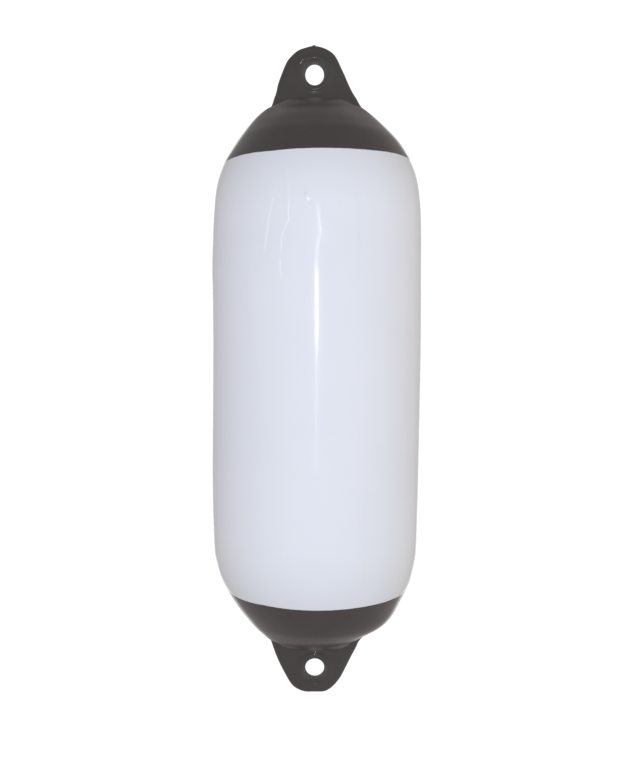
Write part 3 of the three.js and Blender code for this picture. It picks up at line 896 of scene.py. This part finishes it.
def room():
    """A round pale room: the floor sweeps up into the wall and the ceiling, brightest in front of the fender."""
    prof = [(0.0, FLOOR_Z), (1.5, FLOOR_Z), (3.0, FLOOR_Z), (5.0, FLOOR_Z)]
    for i in range(1, 13):
        a = math.radians(90 * i / 12)
        prof.append((5.0 + 3.0 * math.sin(a), FLOOR_Z + 3.0 * (1 - math.cos(a))))
    for i in range(1, 17):
        a = math.radians(90 * i / 16)
        prof.append((8.0 * math.cos(a), 1.2 + 5.0 * math.sin(a)))
    seg = 96
    v, f = [], []
    rows = []
    for r, z in prof:
        if r < 1e-6:
            rows.append([len(v)] * seg)
            v.append((0, 0, z))
        else:
            rows.append(list(range(len(v), len(v) + seg)))
            v += [(r * math.cos(2 * math.pi * i / seg), r * math.sin(2 * math.pi * i / seg), z) for i in range(seg)]
    for p, q in zip(rows[:-1], rows[1:]):
        for i in range(seg):
            j = (i + 1) % seg
            face = []
            for k in (p[i], q[i], q[j], p[j]):
                if k not in face:
                    face.append(k)
            f.append(face)
    me = bpy.data.meshes.new("floor")
    me.from_pydata(v, [], f)
    me.polygons.foreach_set("use_smooth", np.ones(len(me.polygons), bool))
    ob = bpy.data.objects.new("floor", me)
    bpy.context.scene.collection.objects.link(ob)
    m, nt, bsdf = new_material("pale_paper")
    k = Net(nt)
    pos = nt.nodes.new("ShaderNodeTexCoord").outputs["Object"]
    shift_node = nt.nodes.new("ShaderNodeVectorMath")
    shift_node.operation = "SUBTRACT"
    nt.links.new(pos, shift_node.inputs[0])
    shift_node.inputs[1].default_value = HUB
    unit = nt.nodes.new("ShaderNodeVectorMath")
    unit.operation = "NORMALIZE"
    nt.links.new(shift_node.outputs[0], unit.inputs[0])
    sep = nt.nodes.new("ShaderNodeSeparateXYZ")
    nt.links.new(unit.outputs[0], sep.inputs[0])
    toward = k.math("MULTIPLY_ADD", sep.outputs[1], -0.5, 0.5)
    ramp = nt.nodes.new("ShaderNodeValToRGB")
    ramp.color_ramp.interpolation = "CARDINAL"
    top = 2.0
    stops = [(0.0, ROOM[0]), (0.047, ROOM[1]), (0.179, ROOM[2]), (0.371, ROOM[3]), (0.587, ROOM[4]), (0.787, ROOM[5]),
             (0.933, ROOM[6]), (1.0, ROOM[7])]
    el = ramp.color_ramp.elements
    while len(el) > 1:
        el.remove(el[-1])
    el[0].position = stops[0][0]
    el[0].color = tuple(c / top for c in stops[0][1]) + (1,)
    for p, c in stops[1:]:
        e = el.new(p)
        e.color = tuple(x / top for x in c) + (1,)
    nt.links.new(toward, ramp.inputs[0])
    # Warmer and a little stronger from the right.
    right = k.math("MULTIPLY", k.math("MAXIMUM", sep.outputs[0], 0.0), k.math("MAXIMUM", sep.outputs[0], 0.0))
    warm = k.mix(right, (0, 0, 0, 1), (RIGHT[0] / top, RIGHT[1] / top, RIGHT[2] / top, 1))
    add = nt.nodes.new("ShaderNodeMix")
    add.data_type = "RGBA"
    add.blend_type = "ADD"
    add.inputs[0].default_value = 1.0
    nt.links.new(ramp.outputs[0], add.inputs[6])
    nt.links.new(warm, add.inputs[7])
    # The white backdrop behind the fender.
    xyz = nt.nodes.new("ShaderNodeSeparateXYZ")
    nt.links.new(pos, xyz.inputs[0])
    px, py, pz = xyz.outputs
    reach = k.math("MULTIPLY_ADD", py, 0.306, 0.306 * 1.054 + 0.03)
    side = k.ramp(k.math("SUBTRACT", k.math("ABSOLUTE", px), reach), 0.0, 0.32, 1.0, 0.0)
    deep = k.ramp(py, 1.7, 2.6, 0.0, 1.0)
    high = k.ramp(pz, 2.75, 3.4, 1.0, 0.0)
    white = k.math("MULTIPLY", k.math("MULTIPLY", side, deep), high)
    w = BACK / top
    # A little dimmer overhead than level with the fender.
    level = k.math("MULTIPLY_ADD", k.math("MAXIMUM", sep.outputs[2], 0.0), -0.45, 1.0)
    level = k.math("MULTIPLY_ADD", k.math("MAXIMUM", k.math("MULTIPLY", sep.outputs[2], -1.0), 0.0), -0.20, level)
    dim = nt.nodes.new("ShaderNodeVectorMath")
    dim.operation = "SCALE"
    nt.links.new(add.outputs[2], dim.inputs[0])
    nt.links.new(level, dim.inputs[3])
    k.put(bsdf, "Emission Color", k.mix(white, dim.outputs[0], (w, w, w, 1)))
    bsdf.inputs["Emission Strength"].default_value = top
    bsdf.inputs["Base Color"].default_value = (0.10, 0.10, 0.10, 1)
    bsdf.inputs["Roughness"].default_value = 0.9
    bsdf.inputs["Specular IOR Level"].default_value = 0.0
    me.materials.append(m)


# Brightness of the room from behind the fender (first) round to straight in front of it (last).
ROOM = [(0.40, 0.39, 0.385), (0.45, 0.43, 0.425), (0.50, 0.475, 0.465), (0.545, 0.51, 0.50), (0.56, 0.54, 0.54),
        (0.56, 0.55, 0.55), (0.56, 0.55, 0.56), (0.56, 0.55, 0.56)]
RIGHT = (0.19, 0.165, 0.13)
BACK = 1.04
room()


def area(name, location, target, size, power, colour, size_y=None, spread=180):
    data = bpy.data.lights.new(name, "AREA")
    data.energy = power
    data.color = colour
    data.size = size
    if size_y:
        data.shape = "RECTANGLE"
        data.size_y = size_y
    data.spread = math.radians(spread)
    ob = bpy.data.objects.new(name, data)
    ob.location = location
    ob.rotation_euler = (Vector(target) - Vector(location)).to_track_quat("-Z", "Y").to_euler()
    bpy.context.scene.collection.objects.link(ob)
    ob.visible_camera = False
    return ob


lamp = area("lamp", (0.0055, -1.35, -0.200), (0.0055, 0.0, -0.200), 0.024, 0.52, (0.97, 0.99, 1.0), size_y=0.14)
strip = area("strip", (0.0055, -1.36, -0.38), (0.0055, 0.0, -0.38), 0.02, 0.10, (0.95, 0.98, 1.0), size_y=0.34)
front = area("front", (-0.05, -3.1, -0.10), (0.0, 0.0, -0.33), 1.1, 48.8, (0.658, 0.768, 1.0), size_y=1.1)
front.visible_glossy = False
strip_top = area("strip_top", (0.0055, -1.36, 0.035), (0.0055, 0.0, 0.035), 0.016, 0.15, (0.95, 0.98, 1.0), size_y=0.23)

world = bpy.data.worlds.new("world")
bpy.context.scene.world = world
world.use_nodes = True
wn = world.node_tree
bg = wn.nodes["Background"]
bg.inputs[0].default_value = (1, 1, 1, 1)
bg.inputs[1].default_value = 0.6

scene = bpy.context.scene
scene.view_settings.view_transform = "Standard"
scene.view_settings.look = "None"
scene.view_settings.exposure = 0.0
scene.view_settings.gamma = 1.0
